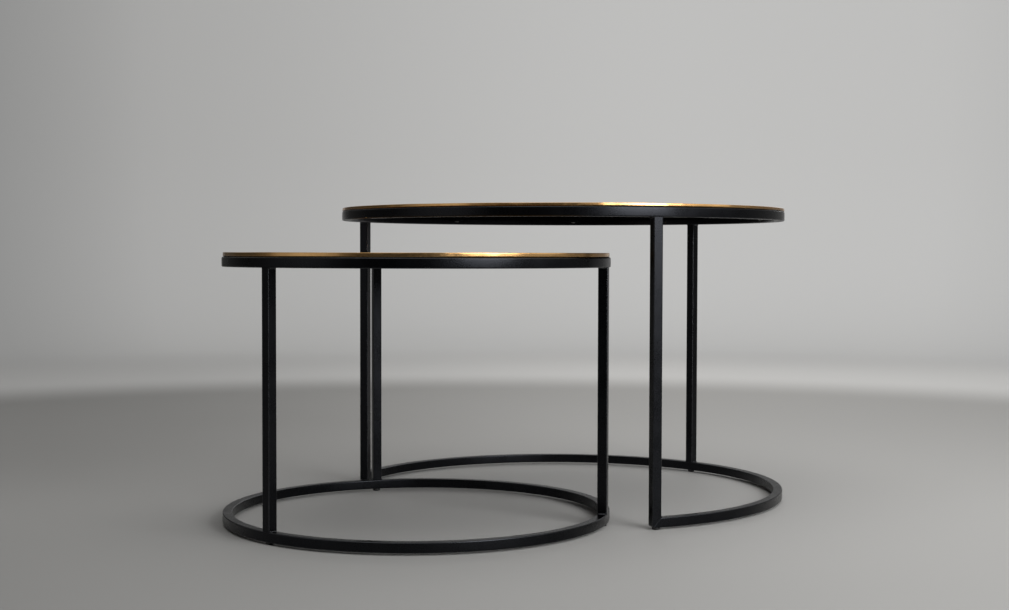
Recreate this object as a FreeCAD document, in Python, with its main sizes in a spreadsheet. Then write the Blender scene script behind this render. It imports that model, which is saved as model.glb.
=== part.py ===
"""Two round nesting side tables: steel tube frames with brass-coloured tray tops.

The large table's base is an open arc, so the small table slides in under its top.
Millimetres and degrees, +Z up. The origin lies on the floor at the centre of the pair's
bounding box. The large table's base opens towards -Y, and the small table stands pulled
out that way. Angles are measured from +X, anticlockwise seen from above.
"""
import FreeCAD, Part
import math
import os
import re

import Sketcher
from FreeCAD import Placement, Rotation, Vector

os.makedirs("parts", exist_ok=True)
doc = FreeCAD.newDocument("NestingTables")

# ---------------------------------------------------------------- driving dimensions
DIMENSIONS = (
    # the large table
    ("large_radius", 375, "outer radius of the large top ring and base arc"),
    ("large_height", 488, "floor to the rim of the large tray"),
    ("large_tray_height", 5.5, "height of the large tray's rim above its ring"),
    ("large_tray_inset", 0.5, "how far the large tray stays inside its ring"),
    ("opening_angle", 129, "angle between the large table's left and right legs"),
    # the small table
    ("small_radius", 299, "outer radius of the small top ring and base ring"),
    ("small_height", 413.8, "floor to the rim of the small tray"),
    ("small_tray_height", 7, "height of the small tray's rim above its ring"),
    ("small_tray_inset", 2, "how far the small tray stays inside its ring"),
    # how the pair stands
    ("pull_out", 343, "distance between the two tables' axes along Y"),
    ("side_shift", 8, "small table's axis to the right of the large one's"),
    ("small_turn", 1.6, "turn of the small table about its own axis"),
    # square tube
    ("tube_width", 15, "outside width of the square tube"),
    ("tube_wall", 1.5, "wall of the square tube"),
    ("tube_corner", 1.5, "outside corner radius of the square tube"),
    ("mitre_round", 5, "radius ground on the outer corner of each mitre"),
    ("vent_radius", 3, "vent hole from the top ring into each leg"),
    ("weld_size", 2.5, "leg length of the fillet welds"),
    # sheet trays and their backing boards
    ("tray_sheet", 1.2, "thickness of the tray's sheet"),
    ("tray_bend", 2, "outside radius between the tray's floor and its lip"),
    ("rim_round", 0.4, "rounding of the lip's two edges"),
    ("board_thickness", 6, "thickness of the backing board"),
    ("board_clearance", 1, "gap between the backing board and the ring around it"),
    # fixing tabs and their screws
    ("tab_width", 18, "tab width along the ring"),
    ("tab_reach", 18, "how far a tab stands in from the ring"),
    ("tab_thickness", 2.5, "tab thickness"),
    ("screw_inset", 10, "screw axis in from the ring's inner wall"),
    ("screw_radius", 1.75, "shank radius of a tab screw"),
    ("screw_bite", 4, "depth of a screw in the backing board"),
    ("screw_tip", 1.4, "length of a screw's pointed end"),
    ("screw_head_radius", 3.6, "head radius of a tab screw"),
    ("screw_head_height", 2.1, "head height of a tab screw"),
    ("screw_clearance", 0.25, "radial clearance around a screw in its tab"),
    ("pilot_clearance", 0.05, "radial clearance around a screw in the board"),
    # glide feet
    ("foot_radius", 6, "radius of a glide foot's pad"),
    ("foot_height", 3.5, "height of a glide foot's pad"),
    ("foot_round", 0.8, "rounding of the pad's lower edge"),
    ("stem_radius", 2.5, "radius of a glide foot's stem"),
    ("stem_length", 8, "length of a glide foot's stem"),
    ("stem_clearance", 0.1, "radial clearance around the stem in its hole"),
    ("mitre_foot_shift", 1.5, "foot of a mitred leg, from the leg's axis along the arc"),
)

sheet = doc.addObject("Spreadsheet::Sheet", "Sizes")
for row, (alias, value, meaning) in enumerate(DIMENSIONS, start=1):
    sheet.set(f"A{row}", meaning)
    sheet.set(f"B{row}", str(value))
    sheet.setAlias(f"B{row}", alias)
doc.recompute()

FULL_TURN = 360
OVERSHOOT = 40          # how far a cutting outline runs past the tube
TOLERANCE = 1e-4        # for picking edges by their place
HEAD_TAPER = 0.8        # a screw head's outer face against its seat
POINT_TAPER = 0.2       # a screw point's end against its shank

ALIASES = re.compile(r"\b(" + "|".join(alias for alias, _, _ in DIMENSIONS) + r")\b")


def sized(text):
    """An expression in which each dimension's own name stands for its cell."""
    return ALIASES.sub(r"<<Sizes>>.\1", text)


def bind(item, prop, text):
    """Bind a property to an expression of the driving dimensions."""
    item.setExpression(prop, sized(text))


def amount(text):
    """The number that an expression of the driving dimensions gives now."""
    result = sheet.evalExpression(sized(text))
    return float(getattr(result, "Value", result))


# ---------------------------------------------------------------- the two tables
class Table:
    """One table's name, the place of its axis, its legs and the bays between them."""

    def __init__(self, name, centre_x, centre_y, legs):
        self.name = name
        self.centre_x = centre_x
        self.centre_y = centre_y
        self.legs = legs
        self.radius = f"{name}_radius"
        self.ring_top = f"({name}_height - {name}_tray_height)"

    def tab_angles(self):
        """Two fixing tabs in each bay, which they divide into three equal parts."""
        angles = list(self.legs.values())
        following = angles[1:] + [f"{angles[0]} + {FULL_TURN}"]
        return [
            f"(({start}) * {3 - step} + ({end}) * {step}) / 3"
            for start, end in zip(angles, following)
            for step in (1, 2)
        ]


LARGE = Table(
    "large",
    "0",
    "(pull_out + small_radius - large_radius) / 2",
    {
        "back": "90",
        "left": "270 - opening_angle / 2",
        "right": "270 + opening_angle / 2",
    },
)
SMALL = Table(
    "small",
    "side_shift",
    "(small_radius - large_radius - pull_out) / 2",
    {
        "right": "30 + small_turn",
        "left": "150 + small_turn",
        "front": "270 + small_turn",
    },
)


def place_at_axis(item, table, height):
    """Put an item on its table's axis, at a height above the floor."""
    bind(item, "Placement.Base.x", table.centre_x)
    bind(item, "Placement.Base.y", table.centre_y)
    bind(item, "Placement.Base.z", height)


def place_around(item, table, angle, radius, height, along="0"):
    """Put an item at an angle and radius about its table's axis, its own +X outward.

    along shifts it sideways, along its own +Y.
    """
    turn = f"({angle}) * 1 deg"
    out_x = f"(({radius}) * cos({turn}) - ({along}) * sin({turn}))"
    out_y = f"(({radius}) * sin({turn}) + ({along}) * cos({turn}))"
    bind(item, "Placement.Base.x", f"{table.centre_x} + {out_x}")
    bind(item, "Placement.Base.y", f"{table.centre_y} + {out_y}")
    bind(item, "Placement.Base.z", height)
    bind(item, "Placement.Rotation.Angle", turn)


# ---------------------------------------------------------------- sketches and features
def add_body(label):
    body = doc.addObject("PartDesign::Body", label)
    body.Label = label
    return body


def add_sketch(body, name, plane, turn="0"):
    """A sketch on one of the body's origin planes, turned about the sketch's own Y."""
    sketch = body.newObject("Sketcher::SketchObject", f"{body.Label}_{name}")
    support = next(item for item in body.Origin.OriginFeatures if item.Role == plane)
    sketch.AttachmentSupport = [(support, "")]
    sketch.MapMode = "FlatFace"
    sketch.AttachmentOffset = Placement(Vector(), Rotation(Vector(0, 1, 0), amount(turn)))
    bind(sketch, "AttachmentOffset.Rotation.Angle", f"({turn}) * 1 deg")
    return sketch


def constrain(sketch, kind, references, text):
    """Add one dimension to a sketch, bound to an expression."""
    constraint = Sketcher.Constraint(kind, *references, amount(text))
    index = sketch.addConstraint(constraint)
    bind(sketch, f"Constraints[{index}]", text)


def constrain_place(sketch, curve, end, across, up):
    """Fix one point of a curve at its distances from the sketch's origin."""
    origin = (-1, 1)
    constrain(sketch, "DistanceX", (*origin, curve, end), across)
    constrain(sketch, "DistanceY", (*origin, curve, end), up)


def add_circle(sketch, across, up, radius):
    centre = Vector(amount(across), amount(up), 0)
    circle = sketch.addGeometry(Part.Circle(centre, Vector(0, 0, 1), amount(radius)))
    constrain_place(sketch, circle, 3, across, up)
    constrain(sketch, "Radius", (circle,), radius)


def add_outline(sketch, corners, arc_after=None, arc_radius=None, arc_centre=None):
    """A closed outline through corners, each a pair of expressions.

    The side that follows corner number arc_after is an arc about arc_centre.
    """
    points = [Vector(amount(across), amount(up), 0) for across, up in corners]
    sides = []
    for number, start in enumerate(points):
        finish = points[(number + 1) % len(points)]
        if number == arc_after:
            centre = Vector(*(amount(text) for text in arc_centre), 0)
            outward = ((start + finish) / 2 - centre).normalize()
            middle = centre + outward * amount(arc_radius)
            side = sketch.addGeometry(Part.Arc(start, middle, finish))
        else:
            side = sketch.addGeometry(Part.LineSegment(start, finish))
        begins = 1 if sketch.getPoint(side, 1).isEqual(start, TOLERANCE) else 2
        sides.append((side, begins, 3 - begins))
    for number, (side, begins, ends) in enumerate(sides):
        following, its_start, _ = sides[(number + 1) % len(sides)]
        sketch.addConstraint(Sketcher.Constraint("Coincident", side, ends, following, its_start))
        constrain_place(sketch, side, begins, *corners[number])
        if number == arc_after:
            constrain(sketch, "Radius", (side,), arc_radius)


def add_rectangle(sketch, left, low, right, high):
    add_outline(sketch, [(left, low), (right, low), (right, high), (left, high)])


def keep(body, feature):
    """Make a feature the body's result and compute it."""
    body.Tip = feature
    doc.recompute()
    return feature


def pad(body, sketch, length):
    feature = body.newObject("PartDesign::Pad", f"{sketch.Name}_pad")
    feature.Profile = sketch
    bind(feature, "Length", length)
    return keep(body, feature)


def cut(body, sketch, length, onward=True, both_ways=False):
    """A pocket along the sketch's normal, against it, or half each way."""
    before = body.Shape.Volume
    feature = body.newObject("PartDesign::Pocket", f"{sketch.Name}_pocket")
    feature.Profile = sketch
    feature.Reversed = onward
    feature.Midplane = both_ways
    bind(feature, "Length", length)
    keep(body, feature)
    if not feature.Shape.Volume < before - TOLERANCE:
        raise RuntimeError(f"{feature.Name} cuts nothing")
    return feature


def round_edges(body, name, base, radius, wanted):
    """Round those edges of a feature that pass a test."""
    edges = base.Shape.Edges
    names = [f"Edge{number}" for number, edge in enumerate(edges, start=1) if wanted(edge)]
    feature = body.newObject("PartDesign::Fillet", f"{body.Label}_{name}")
    feature.Base = (base, names)
    bind(feature, "Radius", radius)
    return keep(body, feature)


def is_circle(edge, *radii):
    """Whether an edge is a circle about the body's own axis with one of the radii."""
    if not isinstance(edge.Curve, Part.Circle):
        return False
    centre = edge.Curve.Center
    on_axis = math.hypot(centre.x, centre.y) < TOLERANCE
    return on_axis and any(abs(edge.Curve.Radius - radius) < TOLERANCE for radius in radii)


def group(label, pieces):
    """One sub-part made of several separate solids."""
    compound = doc.addObject("Part::Compound", label)
    compound.Label = label
    compound.Links = pieces
    return compound


# ---------------------------------------------------------------- tube rings
def revolve_tube(body, table, swept=None):
    """Square tube rolled to the table's radius, whole or symmetric about +Y."""
    sketch = add_sketch(body, "section", "YZ_Plane")
    inner = f"({table.radius} - tube_width)"
    add_rectangle(sketch, inner, "0", table.radius, "tube_width")
    add_rectangle(
        sketch,
        f"{inner} + tube_wall",
        "tube_wall",
        f"{table.radius} - tube_wall",
        "tube_width - tube_wall",
    )
    tube = body.newObject("PartDesign::Revolution", f"{body.Label}_roll")
    tube.Profile = sketch
    tube.ReferenceAxis = (sketch, ["V_Axis"])
    if swept is None:
        tube.Angle = FULL_TURN
    else:
        tube.Midplane = True
        bind(tube, "Angle", swept)
    keep(body, tube)
    radii = (amount(table.radius), amount(inner))
    round_edges(body, "corners", tube, "tube_corner", lambda edge: is_circle(edge, *radii))


def drill_below(body, name, table, radius, places):
    """Round holes through a ring's lower wall, each at an angle and a shift along it."""
    sketch = add_sketch(body, name, "XY_Plane")
    middle = f"({table.radius} - tube_width / 2)"
    for angle, along in places:
        turn = f"(({angle}) * 1 deg)"
        across = f"{middle} * cos({turn}) - ({along}) * sin({turn})"
        up = f"{middle} * sin({turn}) + ({along}) * cos({turn})"
        add_circle(sketch, across, up, radius)
    through_the_wall = "tube_wall * 2"
    cut(body, sketch, through_the_wall)


def make_top_ring(table):
    body = add_body(f"{table.name}_top_ring")
    revolve_tube(body, table)
    vents = [(angle, "0") for angle in table.legs.values()]
    drill_below(body, "vents", table, "vent_radius", vents)
    place_at_axis(body, table, f"{table.ring_top} - tube_width")
    return body


def is_mitred(table, side):
    """Legs at the ends of an open base arc reach the floor and are mitred to it."""
    return table is LARGE and side != "back"


def foot_places(table):
    """Angle and shift along the ring for the foot under each leg."""
    shifts = {"left": "-mitre_foot_shift", "right": "mitre_foot_shift"}
    return {
        side: (angle, shifts[side] if is_mitred(table, side) else "0")
        for side, angle in table.legs.items()
    }


STEM_HOLE = "stem_radius + stem_clearance"


def make_base_ring(table):
    """The small table's closed base ring."""
    body = add_body(f"{table.name}_base_ring")
    revolve_tube(body, table)
    drill_below(body, "stem_holes", table, STEM_HOLE, foot_places(table).values())
    place_at_axis(body, table, "foot_height")
    return body


def mitre_outline(sketch, for_leg):
    """What the mitre takes off: below it on a leg, beyond and above it on the arc.

    The mitre climbs at 45 degrees from the outer corner, which is ground round. In the
    sketch the arc runs off to the right and the leg stands above it.
    """
    side = "tube_width / 2"
    bevel = "mitre_round * (1 - 1 / sqrt(2))"
    on_mitre = (f"{bevel} - {side}", bevel)
    inside = (side, "tube_width")
    centre = (f"mitre_round - {side}", "mitre_round")
    if for_leg:
        far = f"({side} + {OVERSHOOT})"
        corners = [
            (f"-{side}", "mitre_round"),
            on_mitre,
            inside,
            (far, f"tube_width + {OVERSHOOT}"),
            (far, f"-{OVERSHOOT}"),
            (f"-{far}", f"-{OVERSHOOT}"),
            (f"-{far}", "mitre_round"),
        ]
        arc_after = 0
    else:
        far = f"-({side} + {OVERSHOOT})"
        corners = [
            inside,
            on_mitre,
            (f"mitre_round - {side}", "0"),
            (f"mitre_round - {side}", f"-{OVERSHOOT}"),
            (far, f"-{OVERSHOOT}"),
            (far, f"tube_width + {OVERSHOOT}"),
            (side, f"tube_width + {OVERSHOOT}"),
        ]
        arc_after = 1
    add_outline(sketch, corners, arc_after, "mitre_round", centre)


def make_base_arc(table):
    """The large table's base: a ring open towards -Y, mitred to the legs at its ends."""
    body = add_body(f"{table.name}_base_arc")
    past_each_leg = f"(tube_width / {table.radius} * 180 / pi)"
    revolve_tube(body, table, f"({FULL_TURN} - opening_angle + 2 * {past_each_leg}) * 1 deg")
    sketch = add_sketch(body, "mitre", "XZ_Plane", f"{table.legs['right']} - 270")
    mitre_outline(sketch, for_leg=False)
    mitre = cut(body, sketch, f"{table.radius} + {OVERSHOOT}")
    mirrored = body.newObject("PartDesign::Mirrored", f"{body.Label}_other_mitre")
    mirrored.Originals = [mitre]
    middle = next(item for item in body.Origin.OriginFeatures if item.Role == "YZ_Plane")
    mirrored.MirrorPlane = (middle, [""])
    before = body.Shape.Volume
    keep(body, mirrored)
    if not mirrored.Shape.Volume < before - TOLERANCE:
        raise RuntimeError("the mirrored mitre cuts nothing")
    drill_below(body, "stem_holes", table, STEM_HOLE, foot_places(table).values())
    place_at_axis(body, table, "foot_height")
    return body


# ---------------------------------------------------------------- legs and welds
def make_leg(table, side):
    """A straight square tube, its faces square to the radius it stands on."""
    body = add_body(f"{table.name}_{side}_leg")
    half = "tube_width / 2"
    bore = "(tube_width / 2 - tube_wall)"
    mitred = is_mitred(table, side)
    low = "foot_height" if mitred else "foot_height + tube_width"
    sketch = add_sketch(body, "section", "XY_Plane")
    add_rectangle(sketch, f"-{half}", f"-{half}", half, half)
    add_rectangle(sketch, f"-{bore}", f"-{bore}", bore, bore)
    tube = pad(body, sketch, f"{table.ring_top} - tube_width - ({low})")
    reach = amount(half)

    def is_outer_corner(edge):
        start, finish = (vertex.Point for vertex in edge.Vertexes)
        upright = start.distanceToPoint(finish) > 2 * reach + TOLERANCE
        outer = abs(abs(start.x) - reach) < TOLERANCE and abs(abs(start.y) - reach) < TOLERANCE
        return upright and outer

    round_edges(body, "corners", tube, "tube_corner", is_outer_corner)
    if mitred:
        turn = "180" if side == "left" else "0"
        sketch = add_sketch(body, "mitre", "YZ_Plane", turn)
        mitre_outline(sketch, for_leg=True)
        cut(body, sketch, f"tube_width + {OVERSHOOT}", both_ways=True)
    middle = f"{table.radius} - tube_width / 2"
    place_around(body, table, table.legs[side], middle, low)
    return body


def make_weld(table, side, end, hand):
    """One fillet bead beside a leg, under the top ring or on the base."""
    bead = doc.addObject("Part::Wedge", f"{table.name}_{side}_{end}_weld")
    for prop in ("Xmin", "X2min"):
        bind(bead, prop, "tube_corner - tube_width / 2")
    for prop in ("Xmax", "X2max"):
        bind(bead, prop, "tube_width / 2 - tube_corner")
    bind(bead, "Ymin", "tube_width / 2")
    bind(bead, "Ymax", "tube_width / 2 + weld_size")
    if end == "top":
        bind(bead, "Zmin", "-weld_size")
        corner = ("Zmax", "Z2min", "Z2max")
        height = f"{table.ring_top} - tube_width"
    else:
        bind(bead, "Zmax", "weld_size")
        corner = ("Zmin", "Z2min", "Z2max")
        height = "foot_height + tube_width"
    for prop in corner:
        setattr(bead, prop, 0)
    middle = f"{table.radius} - tube_width / 2"
    place_around(bead, table, table.legs[side], middle, height)
    if hand < 0:
        bind(bead, "Placement.Rotation.Angle", f"({table.legs[side]} + 180) * 1 deg")
    return bead


def make_welds(table, end):
    beads = []
    for side in table.legs:
        hands = (1, -1)
        if end == "base" and is_mitred(table, side):
            hands = (1,) if side == "right" else (-1,)
        beads += [make_weld(table, side, end, hand) for hand in hands]
    return group(f"{table.name}_{end}_welds", beads)


# ---------------------------------------------------------------- tray, board and fixings
def make_tray(table):
    """A flat sheet pan with a low upright lip."""
    body = add_body(f"{table.name}_tray")
    outer = f"({table.radius} - {table.name}_tray_inset)"
    inner = f"({outer} - tray_sheet)"
    rise = f"{table.name}_tray_height"
    disc = add_sketch(body, "outline", "XY_Plane")
    add_circle(disc, "0", "0", outer)
    pad(body, disc, rise)
    hollow = add_sketch(body, "hollow", "XZ_Plane")
    add_rectangle(hollow, "0", "tray_sheet", inner, f"{rise} + {OVERSHOOT}")
    before = body.Shape.Volume
    groove = body.newObject("PartDesign::Groove", f"{body.Label}_groove")
    groove.Profile = hollow
    groove.ReferenceAxis = (hollow, ["V_Axis"])
    groove.Angle = FULL_TURN
    keep(body, groove)
    if not groove.Shape.Volume < before - TOLERANCE:
        raise RuntimeError(f"{groove.Name} cuts nothing")

    def at(edge, radius, height):
        return is_circle(edge, amount(radius)) and (
            abs(edge.Curve.Center.z - amount(height)) < TOLERANCE
        )

    bend = round_edges(body, "bend", groove, "tray_bend", lambda edge: at(edge, outer, "0"))
    inside = "tray_bend - tray_sheet"
    seat = round_edges(
        body, "inner_bend", bend, inside, lambda edge: at(edge, inner, "tray_sheet")
    )
    round_edges(
        body,
        "rim",
        seat,
        "rim_round",
        lambda edge: at(edge, outer, rise) or at(edge, inner, rise),
    )
    place_at_axis(body, table, table.ring_top)
    return body


SCREW_PLACE = "tube_width + screw_inset"


def make_board(table):
    """The board under the tray, inside the ring, with a pilot hole for each screw."""
    body = add_body(f"{table.name}_backing_board")
    disc = add_sketch(body, "outline", "XY_Plane")
    add_circle(disc, "0", "0", f"{table.radius} - tube_width - board_clearance")
    pad(body, disc, "board_thickness")
    pilots = add_sketch(body, "pilot_holes", "XY_Plane")
    for angle in table.tab_angles():
        turn = f"(({angle}) * 1 deg)"
        out = f"({table.radius} - ({SCREW_PLACE}))"
        place = (f"{out} * cos({turn})", f"{out} * sin({turn})")
        add_circle(pilots, *place, "screw_radius + pilot_clearance")
    cut(body, pilots, "screw_bite + pilot_clearance")
    place_at_axis(body, table, f"{table.ring_top} - board_thickness")
    return body


def make_tab(table, angle):
    """A plate welded inside the ring, which the board rests on and is screwed to."""
    name = f"{table.name}_tab"
    plate = doc.addObject("Part::Box", f"{name}_plate")
    bind(plate, "Length", "tab_reach")
    bind(plate, "Width", "tab_width")
    bind(plate, "Height", "tab_thickness")
    wall = f"({table.radius} - tube_width)"
    end = f"sqrt({wall} ^ 2 - (tab_width / 2) ^ 2)"
    height = f"{table.ring_top} - board_thickness - tab_thickness"
    place_around(plate, table, angle, f"{end} - tab_reach", height, "-tab_width / 2")
    hole = doc.addObject("Part::Cylinder", f"{name}_hole")
    bind(hole, "Radius", "screw_radius + screw_clearance")
    bind(hole, "Height", "3 * tab_thickness")
    out = f"{table.radius} - ({SCREW_PLACE})"
    place_around(hole, table, angle, out, f"{height} - tab_thickness")
    tab = doc.addObject("Part::Cut", name)
    tab.Base = plate
    tab.Tool = hole
    return tab


def make_screw(table, angle):
    """A pan-head screw, standing point up through its tab into the board."""
    name = f"{table.name}_screw"
    seat = f"{table.ring_top} - board_thickness - tab_thickness"
    out = f"{table.radius} - ({SCREW_PLACE})"
    straight = "(tab_thickness + screw_bite - screw_tip)"
    head = doc.addObject("Part::Cone", f"{name}_head")
    bind(head, "Radius1", f"screw_head_radius * {HEAD_TAPER}")
    bind(head, "Radius2", "screw_head_radius")
    bind(head, "Height", "screw_head_height")
    place_around(head, table, angle, out, f"{seat} - screw_head_height")
    shank = doc.addObject("Part::Cylinder", f"{name}_shank")
    bind(shank, "Radius", "screw_radius")
    bind(shank, "Height", straight)
    place_around(shank, table, angle, out, seat)
    point = doc.addObject("Part::Cone", f"{name}_point")
    bind(point, "Radius1", "screw_radius")
    bind(point, "Radius2", f"screw_radius * {POINT_TAPER}")
    bind(point, "Height", "screw_tip")
    place_around(point, table, angle, out, f"{seat} + {straight}")
    screw = doc.addObject("Part::MultiFuse", name)
    screw.Shapes = [head, shank, point]
    return screw


# ---------------------------------------------------------------- feet
def make_foot(table, side):
    """A round glide pad with a stem pushed up into the tube."""
    body = add_body(f"{table.name}_{side}_foot")
    disc = add_sketch(body, "pad", "XY_Plane")
    add_circle(disc, "0", "0", "foot_radius")
    base = pad(body, disc, "foot_height")
    lower = amount("foot_radius")
    rounded = round_edges(
        body,
        "edge",
        base,
        "foot_round",
        lambda edge: is_circle(edge, lower) and edge.Curve.Center.z < TOLERANCE,
    )
    stem = add_sketch(body, "stem", "XY_Plane")
    add_circle(stem, "0", "0", "stem_radius")
    pad(body, stem, "foot_height + stem_length")
    if not body.Shape.Volume > rounded.Shape.Volume + TOLERANCE:
        raise RuntimeError(f"{body.Label} has no stem")
    angle, along = foot_places(table)[side]
    place_around(body, table, angle, f"{table.radius} - tube_width / 2", "0", along)
    return body


# ---------------------------------------------------------------- the set
def make_table(table, make_base):
    parts = [make_top_ring(table), make_base(table)]
    parts += [make_leg(table, side) for side in table.legs]
    parts += [make_foot(table, side) for side in table.legs]
    parts += [make_welds(table, end) for end in ("top", "base")]
    parts += [make_tray(table), make_board(table)]
    angles = table.tab_angles()
    parts.append(group(f"{table.name}_fixing_tabs", [make_tab(table, angle) for angle in angles]))
    parts.append(group(f"{table.name}_tab_screws", [make_screw(table, angle) for angle in angles]))
    return parts


subparts = make_table(LARGE, make_base_arc) + make_table(SMALL, make_base_ring)
doc.recompute()

for item in doc.Objects:
    if "Invalid" in item.State or "Error" in item.State:
        raise RuntimeError(f"{item.Name} failed: {item.State}")
for part in subparts:
    if part.Shape.isNull() or not part.Shape.isValid():
        raise RuntimeError(f"{part.Label} has no valid shape")

for part in subparts:
    part.Shape.exportStep(f"parts/{part.Label}.step")
    print(part.Label, len(part.Shape.Solids), round(part.Shape.Volume))
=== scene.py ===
"""A pair of round nesting tables: black square-tube frames with shallow brass trays."""

import math

import bmesh
import bpy
from mathutils import Matrix, Vector, noise


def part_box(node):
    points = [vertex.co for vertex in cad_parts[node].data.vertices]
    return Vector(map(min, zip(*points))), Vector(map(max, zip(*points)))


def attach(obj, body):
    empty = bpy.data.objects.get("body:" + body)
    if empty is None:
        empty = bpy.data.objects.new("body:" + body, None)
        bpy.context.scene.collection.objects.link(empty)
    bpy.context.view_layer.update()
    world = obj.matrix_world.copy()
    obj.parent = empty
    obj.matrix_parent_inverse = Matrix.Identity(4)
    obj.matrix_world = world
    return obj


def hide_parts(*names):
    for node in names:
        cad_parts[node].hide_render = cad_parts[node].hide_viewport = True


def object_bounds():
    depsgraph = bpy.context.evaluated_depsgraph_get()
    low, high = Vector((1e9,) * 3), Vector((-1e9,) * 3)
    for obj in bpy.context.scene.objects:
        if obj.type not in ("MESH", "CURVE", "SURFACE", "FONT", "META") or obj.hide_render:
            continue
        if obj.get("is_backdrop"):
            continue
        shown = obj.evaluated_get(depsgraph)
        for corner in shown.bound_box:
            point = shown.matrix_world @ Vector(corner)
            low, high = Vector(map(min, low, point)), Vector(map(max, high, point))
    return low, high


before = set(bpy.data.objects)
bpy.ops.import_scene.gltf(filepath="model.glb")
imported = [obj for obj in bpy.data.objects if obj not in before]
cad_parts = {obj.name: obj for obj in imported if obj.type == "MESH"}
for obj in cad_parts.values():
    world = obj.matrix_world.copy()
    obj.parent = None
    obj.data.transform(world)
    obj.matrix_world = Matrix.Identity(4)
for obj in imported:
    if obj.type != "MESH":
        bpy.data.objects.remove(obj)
CAD_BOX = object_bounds()
MM = 0.001
FULL_TURN = 2 * math.pi

# ---------------------------------------------------------------- places, read from the CAD nodes

TABLES = ("large", "small")
LEGS = {"large": ("back", "left", "right"), "small": ("front", "left", "right")}
BASES = {"large": "base_arc", "small": "base_ring"}


def node_box(table, part):
    """The lowest and highest corner of one CAD node of one table."""
    low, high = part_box(f"{table}_{part}")
    return Vector(low), Vector(high)


def table_axis(table):
    """Where the table's upright axis stands: the middle of its tray."""
    low, high = node_box(table, "tray")
    middle = (low + high) / 2
    return Vector((middle.x, middle.y, 0))


def leg_foot(table, leg):
    """The middle of a leg in plan."""
    low, high = node_box(table, f"{leg}_leg")
    middle = (low + high) / 2
    return Vector((middle.x, middle.y, 0))


AXES = {table: table_axis(table) for table in TABLES}
RING_LOW, RING_HIGH = node_box("large", "top_ring")
TUBE = RING_HIGH.z - RING_LOW.z

# ---------------------------------------------------------------- node trees

UP = (0, 0, 1)
FLAT_FACING = 0.985  # skin that looks this squarely out, sideways or up is a flat face
CORNER_FACING = 0.75  # and the middle of a rounded corner looks no more squarely than this
NOISE_RANGE = (0.3, 0.7)  # most values of a noise lie between these


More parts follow.
